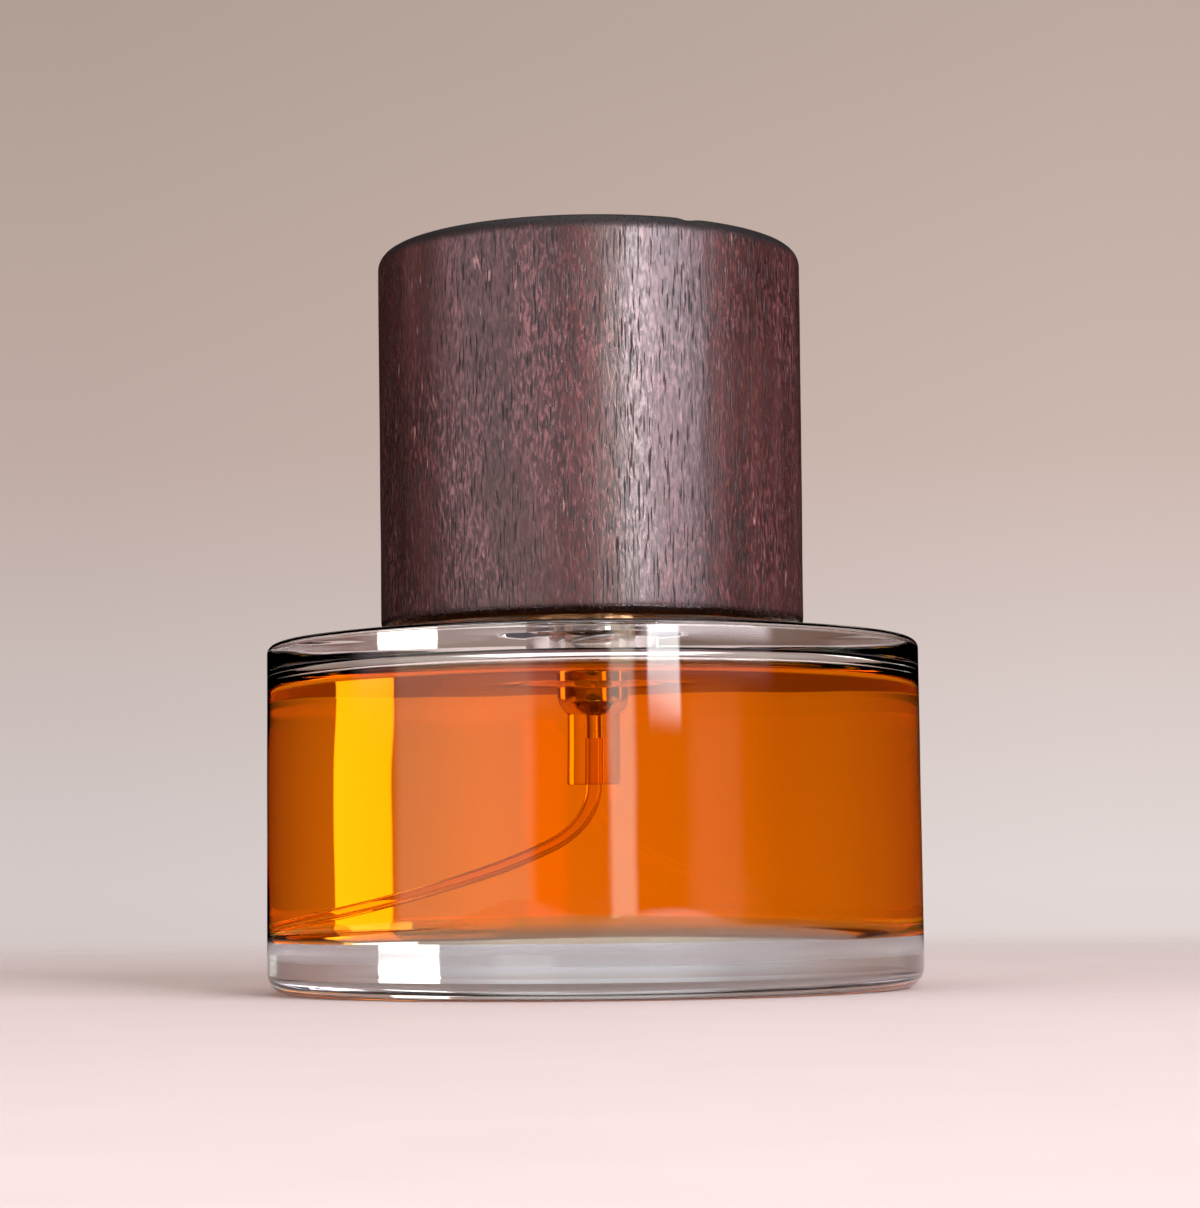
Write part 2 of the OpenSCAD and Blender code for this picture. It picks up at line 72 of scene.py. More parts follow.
def turned(name, outline, sides=192, closed=False):
    """A round body: the outline swept about the upright axis. Its ends on the axis are closed."""
    verts, faces, rings = [], [], []
    for radius, height in outline:
        count = sides if radius > 1e-6 else 1
        rings.append([len(verts) + k for k in range(count)])
        for k in range(count):
            angle = 2 * math.pi * k / sides
            verts.append((radius * math.cos(angle), radius * math.sin(angle), height))
    pairs = list(zip(rings, rings[1:]))
    if closed:
        pairs.append((rings[-1], rings[0]))
    for low, high in pairs:
        for k in range(sides):
            m = (k + 1) % sides
            corners = [low[k % len(low)], low[m % len(low)], high[m % len(high)], high[k % len(high)]]
            face = list(dict.fromkeys(corners))
            if len(face) > 2:
                faces.append(face)
    mesh = bpy.data.meshes.new(name)
    mesh.from_pydata(verts, [], faces)
    return stand(name, mesh)


def stand(name, mesh, sharp=40):
    """Puts a closed mesh in the scene, smooth apart from its real edges."""
    mesh.validate()
    piece = bpy.data.objects.new(name, mesh)
    bpy.context.collection.objects.link(piece)
    if signed_volume(mesh) < 0:
        mesh.flip_normals()
    mesh.polygons.foreach_set("use_smooth", [True] * len(mesh.polygons))
    mesh.set_sharp_from_angle(angle=math.radians(sharp))
    return piece


def signed_volume(mesh):
    """Volume inside a closed mesh, negative where its faces look inwards."""
    mesh.calc_loop_triangles()
    total = 0
    for triangle in mesh.loop_triangles:
        a, b, c = (mesh.vertices[v].co for v in triangle.vertices)
        total += a.dot(b.cross(c))
    return total / 6


def ripple(piece, depth, size, where):
    """Moves the surface in and out by a smooth random amount, where the test allows it."""
    mesh = piece.data
    moves = [v.normal * depth * noise.noise(v.co / size) for v in mesh.vertices]
    for vertex, move in zip(mesh.vertices, moves):
        if where(vertex.co):
            vertex.co += move


def blank(name):
    """A new material with an empty board, its output and its shader."""
    material = bpy.data.materials.new(name)
    material.use_nodes = True
    nodes = material.node_tree.nodes
    nodes.clear()
    out = nodes.new("ShaderNodeOutputMaterial")
    skin = nodes.new("ShaderNodeBsdfPrincipled")
    material.node_tree.links.new(skin.outputs["BSDF"], out.inputs["Surface"])
    return material, skin, out


def socket(group, name, kind, way, value=None):
    """Adds a named socket to a shader node group."""
    made = group.interface.new_socket(name=name, in_out=way, socket_type=kind)
    if value is not None:
        made.default_value = value


def smudge_group():
    """Faint wiped marks and a slow ripple, as on anything smooth that hands touch."""
    group = bpy.data.node_groups.new("smudges", "ShaderNodeTree")
    socket(group, "Clean", "NodeSocketFloat", "INPUT", 0.0)
    socket(group, "Smeared", "NodeSocketFloat", "INPUT", 0.1)
    socket(group, "Size", "NodeSocketFloat", "INPUT", 100.0)
    socket(group, "Roughness", "NodeSocketFloat", "OUTPUT")
    socket(group, "Height", "NodeSocketFloat", "OUTPUT")
    nodes, links = group.nodes, group.links
    ins = nodes.new("NodeGroupInput")
    outs = nodes.new("NodeGroupOutput")
    place = nodes.new("ShaderNodeTexCoord")
    cloud = nodes.new("ShaderNodeTexNoise")
    cloud.inputs["Detail"].default_value = 6
    cloud.inputs["Distortion"].default_value = 1.2
    spread = nodes.new("ShaderNodeMapRange")
    spread.inputs["From Min"].default_value = 0.52
    spread.inputs["From Max"].default_value = 0.8
    links.new(place.outputs["Object"], cloud.inputs["Vector"])
    links.new(ins.outputs["Size"], cloud.inputs["Scale"])
    links.new(cloud.outputs["Fac"], spread.inputs["Value"])
    links.new(ins.outputs["Clean"], spread.inputs["To Min"])
    links.new(ins.outputs["Smeared"], spread.inputs["To Max"])
    links.new(spread.outputs["Result"], outs.inputs["Roughness"])
    links.new(cloud.outputs["Fac"], outs.inputs["Height"])
    return group


def place_group(material, group, values):
    """Sets a node group in a material with its own values, and returns the node."""
    node = material.node_tree.nodes.new("ShaderNodeGroup")
    node.node_tree = group
    for name, value in values.items():
        node.inputs[name].default_value = value
    return node


def raise_surface(material, skin, source, strength, distance):
    """Feeds a height into the shader's normal through a bump."""
    bump = material.node_tree.nodes.new("ShaderNodeBump")
    bump.inputs["Strength"].default_value = strength
    bump.inputs["Distance"].default_value = distance
    material.node_tree.links.new(source, bump.inputs["Height"])
    material.node_tree.links.new(bump.outputs["Normal"], skin.inputs["Normal"])


smudges = smudge_group()


def clear_material(name, ior, smeared, colour=(1, 1, 1, 1)):
    """Polished see-through stuff with faint smudges."""
    material, skin, _ = blank(name)
    skin.inputs["Base Color"].default_value = colour
    skin.inputs["Transmission Weight"].default_value = 1
    skin.inputs["IOR"].default_value = ior
    marks = place_group(material, smudges, {"Clean": 0.0, "Smeared": smeared, "Size": 90.0})
    material.node_tree.links.new(marks.outputs["Roughness"], skin.inputs["Roughness"])
    raise_surface(material, skin, marks.outputs["Height"], 0.02, 0.1 * mm)
    return material


glass_ior = 1.52
liquid_ior = 1.36
fill_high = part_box("aftershave_fill")[1]
bottle_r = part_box("glass_bottle")[1].x
inner_r = fill_high.x
level = fill_high.z
shoulder_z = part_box("cap_wood")[0].z - 1.6 * mm
ceiling_z = level + 2.2 * mm
neck_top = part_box("glass_bottle")[1].z
foot_round = 2.4 * mm
shoulder_round = 0.95 * mm
inner_round = 2.2 * mm
floor_t = 5.7 * mm
punt_rise = 2.8 * mm
recess_r = 30.0 * mm
recess_depth = 0.8 * mm
neck_r = 6.5 * mm
neck_fillet = 0.8 * mm
ring_r = 7.5 * mm
ring_h = 3.0 * mm
ring_round = 0.5 * mm
bore_r = 5.0 * mm
mouth_round = 0.4 * mm
bore_round = 0.8 * mm
surface_step = 1.5 * mm
recess_steps = 12
floor_steps = 24
corner_share = 0.75


def dome(radius, base_r, rise):
    """Height of a shallow dome over its own base, at this distance from the axis."""
    ball = (base_r**2 + rise**2) / (2 * rise)
    return math.sqrt(ball**2 - radius**2) - (ball - rise)


def cavity_outline(inset):
    """The inside of the bottle from under the neck down to the middle of the floor."""
    wall = inner_r + inset
    low_centre = (wall - inner_round, floor_t + corner_share * inner_round - inset)
    outline = bend((wall - inner_round, ceiling_z - inner_round), inner_round, 90, 0)
    outline += climb(outline[-1], (wall, low_centre[1]), surface_step)
    corner = bend(low_centre, inner_round, 0, -90, 20)
    floor = [floor_t - inset + dome(min(r, inner_r), inner_r, punt_rise) for r, z in corner]
    kept = [point for point, under in zip(corner, floor) if point[1] > under][1:]
    outline += kept
    start_r = kept[-1][0] - 0.1 * mm
    for i in range(floor_steps + 1):
        r = max(start_r * (1 - i / floor_steps), 0)
        outline.append((r, floor_t - inset + dome(r, inner_r, punt_rise)))
    return outline


glass_line = [(0, recess_depth)]
for i in range(1, recess_steps + 1):
    r = recess_r * i / recess_steps
    glass_line.append((r, dome(r, recess_r, recess_depth)))
foot = (bottle_r - foot_round, foot_round)
glass_line += bend(foot, foot_round, -90, 0, 14)
glass_line += climb(glass_line[-1], (bottle_r, shoulder_z - shoulder_round), surface_step)
glass_line += bend((bottle_r - shoulder_round, shoulder_z - shoulder_round), shoulder_round, 0, 90)[1:]
glass_line += climb(glass_line[-1], (neck_r + neck_fillet, shoulder_z), surface_step)
glass_line += bend((neck_r + neck_fillet, shoulder_z + neck_fillet), neck_fillet, -90, -180)[1:]
glass_line += [(neck_r, neck_top - ring_h)]
glass_line += bend((ring_r - ring_round, neck_top - ring_h + ring_round), ring_round, -90, 0, 6)
glass_line += bend((ring_r - ring_round, neck_top - ring_round), ring_round, 0, 90, 6)
glass_line += bend((bore_r + mouth_round, neck_top - mouth_round), mouth_round, 90, 180, 6)
glass_line += bend((bore_r + bore_round, ceiling_z + bore_round), bore_round, 180, 270, 8)
glass_line += climb(glass_line[-1], (inner_r - inner_round, ceiling_z), surface_step)
glass_line += cavity_outline(0)[1:]
glass = turned("flask", glass_line, 256)
skin_r = inner_r + 0.2 * mm
inside_z = 4 * mm
stand_z = 1 * mm
ripple(glass, 0.10 * mm, 13 * mm, lambda p: p.xy.length < skin_r and p.z > inside_z)
ripple(glass, 0.03 * mm, 9 * mm, lambda p: p.xy.length > skin_r and p.z > stand_z)

glass.data.materials.append(clear_material("clear glass", glass_ior, 0.07))
glass.data.materials.append(clear_material("glass wetted inside", glass_ior / liquid_ior, 0.0))
wetted = 1
meniscus = 1.1 * mm
for face in glass.data.polygons:
    inside = face.center.xy.length < inner_r + 0.1 * mm and face.center.z > inside_z
    if inside and face.center.z < level + 0.5 * meniscus:
        face.material_index = wetted
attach(glass, "bottle")
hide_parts("glass_bottle")


def soaking_material(name, colour, density):
    """A body that only takes colour out of the light; its own edges don't bend it."""
    material, skin, out = blank(name)
    skin.inputs["Base Color"].default_value = (1, 1, 1, 1)
    skin.inputs["Transmission Weight"].default_value = 1
    skin.inputs["IOR"].default_value = 1.0
    skin.inputs["Roughness"].default_value = 0
    soak = material.node_tree.nodes.new("ShaderNodeVolumeAbsorption")
    soak.inputs["Color"].default_value = (*colour, 1)
    soak.inputs["Density"].default_value = density
    material.node_tree.links.new(soak.outputs["Volume"], out.inputs["Volume"])
    return material


# Painted shade: an absorbing block inside the thick base darkens all that is seen through it, which the
# thin walls don't get
base_gap = 0.2 * mm
base_line = [(0, recess_depth + base_gap), (recess_r, base_gap), (bottle_r - foot_round, base_gap)]
base_line += bend(foot, foot_round - base_gap, -90, 0, 8)
base_line += [(bottle_r - base_gap, floor_t - base_gap)]
for i in range(recess_steps + 1):
    r = inner_r * (1 - i / recess_steps)
    base_line.append((r, floor_t - base_gap + dome(r, inner_r, punt_rise)))
base_shade = turned("base_shade", base_line, 128)
base_shade.data.materials.append(soaking_material("painted shade in the base", (0.30, 0.38, 0.46), 10))
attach(base_shade, "bottle")


# --- Aftershave -------------------------------------------------------------------------------
# Clear amber liquid. It climbs the glass and the pump a little at its edge, and it takes out more
# blue and green the deeper the light goes, so thin places look yellow and thick ones orange.
def liquid_top(r):
    """Height of the surface, with its curved edge at the wall and at the pump."""
    wall_rise = meniscus * math.exp(-(inner_r - r) / (1.3 * mm))
    pump_rise = 0.6 * meniscus * math.exp(-max(r - pump_edge, 0) / (1.1 * mm))
    return level + wall_rise + pump_rise


pump_edge = 4.2 * mm
surface_start = 4.3 * mm
surface_steps = 60
side_gap = 0.02 * mm
top_points = [
    surface_start + (inner_r - surface_start) * i / surface_steps for i in range(surface_steps + 1)
]
surface_line = [(0, liquid_top(0))] + [(r, liquid_top(r)) for r in top_points]
body_line = [(r, z - side_gap) for r, z in surface_line[:-1]]
body_line.append((inner_r - side_gap, liquid_top(inner_r) - side_gap))
under = [point for point in cavity_outline(-side_gap) if point[1] < level]
liquid = turned("aftershave", body_line + under, 192)
liquid.data.materials.append(soaking_material("amber liquid", (0.985, 0.775, 0.0), 120))
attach(liquid, "bottle")
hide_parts("aftershave_fill")

surface = turned("liquid_surface", surface_line[1:], 192)
surface.data.materials.append(clear_material("liquid surface", liquid_ior, 0.0))
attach(surface, "bottle")


# --- Dip tube ---------------------------------------------------------------------------------
# Thin clear tube, pushed up into the pump's tail. It was cut too long on purpose, so it bends
# over and its end lies in the corner of the floor, where it picks up the last of the liquid.
tube_low, tube_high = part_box("dip_tube")
tube_r = tube_high.y
tube_bore = tube_r - 0.25 * mm
tail_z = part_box("pump_housing")[0].z
tube_bends = [(1, 58), (6, 68), (11, 79)]
end_share = 0.4


def tube_path():
    """Centre line of the tube with its lean, from the tail down through three opening bends."""
    across, down, lean = 0, 0, 0
    places = [(0, 0, 0)]
    for radius, angle in tube_bends:
        steps = math.ceil((angle - lean) / 2)
        for i in range(1, steps + 1):
            a = lean + (angle - lean) * i / steps
            dx = radius * (math.cos(math.radians(lean)) - math.cos(math.radians(a)))
            dz = radius * (math.sin(math.radians(a)) - math.sin(math.radians(lean)))
            places.append((across + dx, down + dz, a))
        across, down, lean = places[-1]
    turn = math.radians(lean)
    end_across = across + end_share * math.sin(turn)
    places.append((end_across, down + end_share * math.cos(turn), lean))
    # The end's lowest point and the tube's reach set the size of the first bend
    tip = tube_r * math.cos(turn)
    size = (-tube_low.x - tip) / end_across
    start_z = tube_low.z + places[-1][1] * size + tube_r * math.sin(turn)
    path = [(0, tube_high.z, 0)]
    path += [(-x * size, start_z - z * size, math.radians(a)) for x, z, a in places]
    return path


def tube_mesh(path, outer, inner, sides=24):
    """A hollow tube along a path in the XZ plane, closed by a ring at each end."""
    verts, faces = [], []
    for radius in (outer, inner):
        for x, z, lean in path:
            for k in range(sides):
                turn = 2 * math.pi * k / sides
                side = radius * math.cos(turn)
                place = (x + side * math.cos(lean), radius * math.sin(turn), z - side * math.sin(lean))
                verts.append(place)
    rings = len(path)
    skin = sides * rings
    for k in range(sides):
        m = (k + 1) % sides
        for i in range(rings - 1):
            a, b = i * sides, (i + 1) * sides
            faces.append([a + k, b + k, b + m, a + m])
            faces.append([skin + a + m, skin + b + m, skin + b + k, skin + a + k])
        last = (rings - 1) * sides
        faces.append([k, m, skin + m, skin + k])
        faces.append([last + m, last + k, skin + last + k, skin + last + m])
    mesh = bpy.data.meshes.new("dip_tube_mesh")
    mesh.from_pydata(verts, [], faces)
    return mesh


dip_tube = stand("clear_dip_tube", tube_mesh(tube_path(), tube_r, tube_bore))
plastic_ior = 1.54
wet_tint = (0.95, 0.86, 0.76, 1)
wet_plastic = clear_material("clear plastic in liquid", plastic_ior / liquid_ior, 0.03, wet_tint)
dip_tube.data.materials.append(wet_plastic)
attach(dip_tube, "bottle")
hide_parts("dip_tube")


# --- Pump housing -----------------------------------------------------------------------------
# One clear moulding: a flange on the neck, the pumping chamber, a round valve bowl and a tail
# that grips the dip tube. What is under the liquid bends light much less than what is in air.
house_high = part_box("pump_housing")[1]
flange_r = house_high.x
flange_top = house_high.z
flange_t = 1.0 * mm
barrel_r = 4.2 * mm
chamber_r = 3.2 * mm
chamber_z = flange_top - 12.5 * mm
bowl_r = 3.0 * mm
bowl_bore = 2.1 * mm
bowl_z = chamber_z - 5.6 * mm
tail_r = 2.2 * mm
seat_hole = 0.55 * mm
seat_z = bowl_z + 0.8 * mm
bowl_mid = (0, bowl_z + bowl_r)
tail_meet = math.degrees(math.acos(tail_r / bowl_r))

house_line = [(flange_r, flange_top), (flange_r, flange_top - flange_t)]
house_line += [(barrel_r, flange_top - flange_t), (barrel_r, chamber_z - 0.8 * mm)]
house_line += [(bowl_r, chamber_z - 0.8 * mm)]
house_line += bend(bowl_mid, bowl_r, 0, -tail_meet, 16)
house_line += climb(house_line[-1], (tail_r, tail_z + 0.2 * mm), 2 * mm)
house_line += bend((tail_r - 0.2 * mm, tail_z + 0.2 * mm), 0.2 * mm, 0, -90, 4)[1:]
house_line += [(tube_r, tail_z), (tube_r, tube_high.z), (seat_hole, tube_high.z)]
house_line += [(seat_hole, seat_z), (bowl_bore, seat_z + bowl_bore - seat_hole)]
house_line += [(bowl_bore, chamber_z), (chamber_r, chamber_z), (chamber_r, flange_top)]
housing = turned("housing", house_line, 96, closed=True)
dry_plastic = clear_material("clear plastic in air", 1.5, 0.12, (0.96, 0.94, 0.9, 1))
housing.data.materials.append(dry_plastic)
housing.data.materials.append(wet_plastic)
for face in housing.data.polygons:
    centre = face.center
    on_outside = centre.xy.length > bowl_bore + 0.05 * mm or centre.z < tail_z + 0.1 * mm
    in_tail = centre.z < tube_high.z + 0.1 * mm
    if centre.z < level and (on_outside or in_tail):
        face.material_index = wetted
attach(housing, "bottle")
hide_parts("pump_housing")


# --- Valve and pumping parts ------------------------------------------------------------------
# A steel ball on its seat, a cage over it that carries the return spring, and the soft piston on
# the hollow stem. They are moulded or bought in, and dropped into the housing from above.
def grained_group():
    """Slow colour drift, fine speckle and rubbed edges, for moulded and drawn parts."""
    group = bpy.data.node_groups.new("moulded skin", "ShaderNodeTree")
    socket(group, "Color", "NodeSocketColor", "INPUT", (0.8, 0.8, 0.8, 1))
    socket(group, "Deep", "NodeSocketColor", "INPUT", (0.6, 0.6, 0.6, 1))
    socket(group, "Worn", "NodeSocketColor", "INPUT", (0.9, 0.9, 0.9, 1))
    socket(group, "Grain", "NodeSocketFloat", "INPUT", 2000.0)
    socket(group, "Smooth", "NodeSocketFloat", "INPUT", 0.3)
    socket(group, "Rough", "NodeSocketFloat", "INPUT", 0.5)
    socket(group, "Color", "NodeSocketColor", "OUTPUT")
    socket(group, "Roughness", "NodeSocketFloat", "OUTPUT")
    socket(group, "Height", "NodeSocketFloat", "OUTPUT")
    nodes, links = group.nodes, group.links
    ins = nodes.new("NodeGroupInput")
    outs = nodes.new("NodeGroupOutput")
    place = nodes.new("ShaderNodeTexCoord")
    drift = nodes.new("ShaderNodeTexNoise")
    drift.inputs["Scale"].default_value = 260
    drift.inputs["Detail"].default_value = 4
    speckle = nodes.new("ShaderNodeTexNoise")
    speckle.inputs["Detail"].default_value = 3
    shape = nodes.new("ShaderNodeNewGeometry")
    edges = nodes.new("ShaderNodeMapRange")
    edges.inputs["From Min"].default_value = 0.52
    edges.inputs["From Max"].default_value = 0.6
    edges.inputs["To Max"].default_value = 0.7
    mottle = nodes.new("ShaderNodeMix")
    mottle.data_type = "RGBA"
    rubbed = nodes.new("ShaderNodeMix")
    rubbed.data_type = "RGBA"
    finish = nodes.new("ShaderNodeMapRange")
    links.new(place.outputs["Object"], drift.inputs["Vector"])
    links.new(place.outputs["Object"], speckle.inputs["Vector"])
    links.new(ins.outputs["Grain"], speckle.inputs["Scale"])
    links.new(drift.outputs["Fac"], mottle.inputs["Factor"])
    links.new(ins.outputs["Color"], mottle.inputs["A"])
    links.new(ins.outputs["Deep"], mottle.inputs["B"])
    links.new(shape.outputs["Pointiness"], edges.inputs["Value"])
    links.new(edges.outputs["Result"], rubbed.inputs["Factor"])
    links.new(mottle.outputs["Result"], rubbed.inputs["A"])
    links.new(ins.outputs["Worn"], rubbed.inputs["B"])
    links.new(speckle.outputs["Fac"], finish.inputs["Value"])
    links.new(ins.outputs["Smooth"], finish.inputs["To Min"])
    links.new(ins.outputs["Rough"], finish.inputs["To Max"])
    links.new(rubbed.outputs["Result"], outs.inputs["Color"])
    links.new(finish.outputs["Result"], outs.inputs["Roughness"])
    links.new(speckle.outputs["Fac"], outs.inputs["Height"])
    return group


moulded_skin = grained_group()


def moulded(name, colour, deep, worn, smooth, rough, metallic=0, grain=2000.0, bump=0.15):
    """A moulded, drawn or turned part with a fine grain and rubbed edges."""
    material, skin, _ = blank(name)
    values = {"Color": (*colour, 1), "Deep": (*deep, 1), "Worn": (*worn, 1)}
    values |= {"Grain": grain, "Smooth": smooth, "Rough": rough}
    surface_node = place_group(material, moulded_skin, values)
    links = material.node_tree.links
    links.new(surface_node.outputs["Color"], skin.inputs["Base Color"])
    links.new(surface_node.outputs["Roughness"], skin.inputs["Roughness"])
    skin.inputs["Metallic"].default_value = metallic
    raise_surface(material, skin, surface_node.outputs["Height"], bump, 0.05 * mm)
    return material


def coat_node(node, material):
    """Gives a part that comes straight from the frame its own material."""
    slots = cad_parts[node].data.materials
    slots.clear()
    slots.append(material)


ball_steel = moulded(
    "ball steel", (0.6, 0.6, 0.62), (0.5, 0.5, 0.52), (0.7, 0.7, 0.7), 0.05, 0.12, 1
)
spring_steel = moulded(
    "spring wire", (0.5, 0.5, 0.52), (0.35, 0.35, 0.37), (0.6, 0.6, 0.6), 0.2, 0.4, 1
)
milky = moulded(
    "milky plastic", (0.8, 0.79, 0.75), (0.7, 0.69, 0.65), (0.88, 0.87, 0.85), 0.25, 0.4
)
soft_white = moulded(
    "soft piston plastic", (0.82, 0.82, 0.8), (0.72, 0.72, 0.7), (0.9, 0.9, 0.9), 0.4, 0.6
)
stem_white = moulded(
    "stem plastic", (0.84, 0.84, 0.82), (0.76, 0.76, 0.74), (0.9, 0.9, 0.9), 0.2, 0.35
)
coat_node("check_ball", ball_steel)
coat_node("ball_cage", milky)
coat_node("piston", soft_white)
coat_node("valve_stem", stem_white)

wire_r = 0.2 * mm
spring_turns = 4
spring_low, spring_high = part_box("return_spring")
coil_r = spring_high.x - wire_r


def spring_mesh(steps_per_turn=32, sides=12):
    """Round wire wound into an open coil, cut square at both ends."""
    low, high = spring_low.z + wire_r, spring_high.z - wire_r
    steps = spring_turns * steps_per_turn
    lean = math.atan((high - low) / (spring_turns * math.tau * coil_r))
    verts = []
    for i in range(steps + 1):
        turn = math.tau * i / steps_per_turn
        out = Vector((math.cos(turn), math.sin(turn), 0))
        along = Vector((-math.sin(turn), math.cos(turn), 0))
        middle = coil_r * out + Vector((0, 0, low + (high - low) * i / steps))
        up = Vector((0, 0, math.cos(lean))) - math.sin(lean) * along
        for k in range(sides):
            round_wire = math.tau * k / sides
            verts.append(middle + wire_r * (math.cos(round_wire) * out + math.sin(round_wire) * up))
    faces = [list(range(sides))[::-1], list(range(steps * sides, (steps + 1) * sides))]
    for i in range(steps):
        a, b = i * sides, (i + 1) * sides
        faces += [[a + k, a + (k + 1) % sides, b + (k + 1) % sides, b + k] for k in range(sides)]
    mesh = bpy.data.meshes.new("return_spring_mesh")
    mesh.from_pydata(verts, [], faces)
    return mesh


spring = stand("spring", spring_mesh())
spring.data.materials.append(spring_steel)
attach(spring, "bottle")
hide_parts("return_spring")
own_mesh(spring)


# --- Gland, washers and ferrule ---------------------------------------------------------------
# The gland plugs the chamber, a washer seals the stem and another seals the neck. The ferrule is
# a thin aluminium cup, drawn in one piece, whose edge is rolled in under the ring of the neck.
grey_plastic = moulded(
    "gland plastic", (0.7, 0.7, 0.68), (0.6, 0.6, 0.58), (0.8, 0.8, 0.78), 0.35, 0.5
)
black_rubber = moulded(
    "washer rubber", (0.02, 0.02, 0.02), (0.03, 0.03, 0.03), (0.06, 0.06, 0.06), 0.6, 0.8
)
bare_sheet = moulded(
    "bare aluminium", (0.72, 0.73, 0.75), (0.6, 0.61, 0.63), (0.85, 0.85, 0.86), 0.2, 0.38, 1
)
coat_node("stem_gland", grey_plastic)
coat_node("stem_seal", black_rubber)
coat_node("neck_gasket", black_rubber)
coat_node("crimp_ferrule", bare_sheet)


# --- Collar -----------------------------------------------------------------------------------
# A black plastic insert snaps over the ferrule and carries a thin gold-anodised sleeve with a
# rounded top edge. Only a sliver of the gold shows while the cap is on.
collar_low, collar_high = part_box("collar_shell")
collar_r = collar_high.x
collar_t = 0.4 * mm
collar_round = 0.6 * mm
button_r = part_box("actuator_shell")[1].x
collar_hole = button_r + 0.25 * mm

collar_line = [(collar_r - collar_t, collar_low.z + 0.1 * mm), (collar_r - 0.3 * mm, collar_low.z)]
collar_line += bend((collar_r - 0.15 * mm, collar_low.z + 0.15 * mm), 0.15 * mm, -90, 0, 5)
groove_depth = 0.15 * mm
groove_h = 1.8 * mm
groove_z = collar_low.z + 1.0 * mm
collar_line += [(collar_r, groove_z), (collar_r - groove_depth, groove_z + 0.05 * mm)]
taper = groove_depth / (groove_h - 0.05 * mm)
collar_line.append((collar_r - 0.05 * mm * taper, groove_z + groove_h - 0.05 * mm))
collar_line.append((collar_r, groove_z + groove_h))
collar_line.append((collar_r, groove_z + groove_h + 0.05 * mm))
collar_line += climb(collar_line[-1], (collar_r, collar_high.z - collar_round), 2 * mm)
collar_line += bend((collar_r - collar_round, collar_high.z - collar_round), collar_round, 0, 90, 8)[1:]
lip = 0.15 * mm
collar_line += bend((collar_hole + lip, collar_high.z - lip), lip, 90, 180, 4)
collar_line += [(collar_hole, collar_high.z - collar_t)]
under_round = collar_round - collar_t
collar_line += bend(
    (collar_r - collar_round, collar_high.z - collar_round), under_round, 90, 0, 5
)
collar = turned("gold_collar", collar_line, 160, closed=True)


def ramp_node(nodes, stops):
    """A colour ramp with these stops."""
    node = nodes.new("ShaderNodeValToRGB")
    elements = node.color_ramp.elements
    while len(elements) < len(stops):
        elements.new(0.5)
    for element, (at, colour) in zip(elements, stops):
        element.position = at
        element.color = (*colour, 1)
    return node


def gold_material():
    """Bright gold-anodised aluminium, with faint turning lines and smudges."""
    material, skin, _ = blank("gold anodised sheet")
    tree = material.node_tree
    place = tree.nodes.new("ShaderNodeTexCoord")
    stretch = tree.nodes.new("ShaderNodeMapping")
    stretch.inputs["Scale"].default_value = (60, 60, 9000)
    lines = tree.nodes.new("ShaderNodeTexNoise")
    lines.inputs["Scale"].default_value = 1
    tint = ramp_node(tree.nodes, [(0.3, (0.72, 0.42, 0.19)), (0.7, (0.86, 0.55, 0.28))])
    marks = place_group(material, smudges, {"Clean": 0.07, "Smeared": 0.22, "Size": 300.0})
    tree.links.new(place.outputs["Object"], stretch.inputs["Vector"])
    tree.links.new(stretch.outputs["Vector"], lines.inputs["Vector"])
    tree.links.new(lines.outputs["Fac"], tint.inputs["Fac"])
    tree.links.new(tint.outputs["Color"], skin.inputs["Base Color"])
    tree.links.new(marks.outputs["Roughness"], skin.inputs["Roughness"])
    skin.inputs["Metallic"].default_value = 1
    raise_surface(material, skin, lines.outputs["Fac"], 0.02, 0.02 * mm)
    return material


gold = gold_material()
collar.data.materials.append(gold)
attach(collar, "bottle")
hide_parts("collar_shell")

black_insert = moulded(
    "black plastic", (0.012, 0.012, 0.013), (0.02, 0.02, 0.021), (0.05, 0.05, 0.05), 0.35, 0.5
)
coat_node("collar_insert", black_insert)


# --- Button -----------------------------------------------------------------------------------
# A white plastic core is pushed onto the stem and covered by a drawn gold sheet. The black nozzle
# is pressed into its side, round a post that makes the spray spin.
button_low, button_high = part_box("actuator_shell")
button_t = 0.4 * mm
button_round = 0.5 * mm
rim_round = 0.1 * mm
nozzle_low, nozzle_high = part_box("nozzle_insert")
nozzle_z = (nozzle_low.z + nozzle_high.z) / 2
window_r = nozzle_high.x + 0.1 * mm

button_line = [(0, button_high.z)]
button_line += bend((button_r - button_round, button_high.z - button_round), button_round, 90, 0, 8)
button_line += climb(button_line[-1], (button_r, button_low.z + rim_round), 1.5 * mm)
button_line += bend((button_r - rim_round, button_low.z + rim_round), rim_round, 0, -90, 3)[1:]
button_line += [(button_r - button_t, button_low.z)]
button_line += [(button_r - button_t, button_high.z - button_t), (0, button_high.z - button_t)]
button = turned("gold_button", button_line, 160)
drill_line = [(0, -1 * mm), (window_r, -1 * mm), (window_r, 4 * mm), (0, 4 * mm)]
cutter = turned("nozzle_window_cutter", drill_line, 48)
sideways = Matrix.Rotation(math.pi / 2, 4, "X")
cutter.matrix_world = Matrix.Translation((0, -button_r + 2 * mm, nozzle_z)) @ sideways
hole = button.modifiers.new("window", "BOOLEAN")
hole.operation = "DIFFERENCE"
hole.object = cutter
hole.solver = "EXACT"
bpy.context.view_layer.update()
solid = bpy.data.meshes.new_from_object(button.evaluated_get(bpy.context.evaluated_depsgraph_get()))
button.modifiers.clear()
button.data = solid
bpy.data.objects.remove(cutter)
button.data.set_sharp_from_angle(angle=math.radians(40))
button.data.materials.clear()
button.data.materials.append(gold)
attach(button, "head")
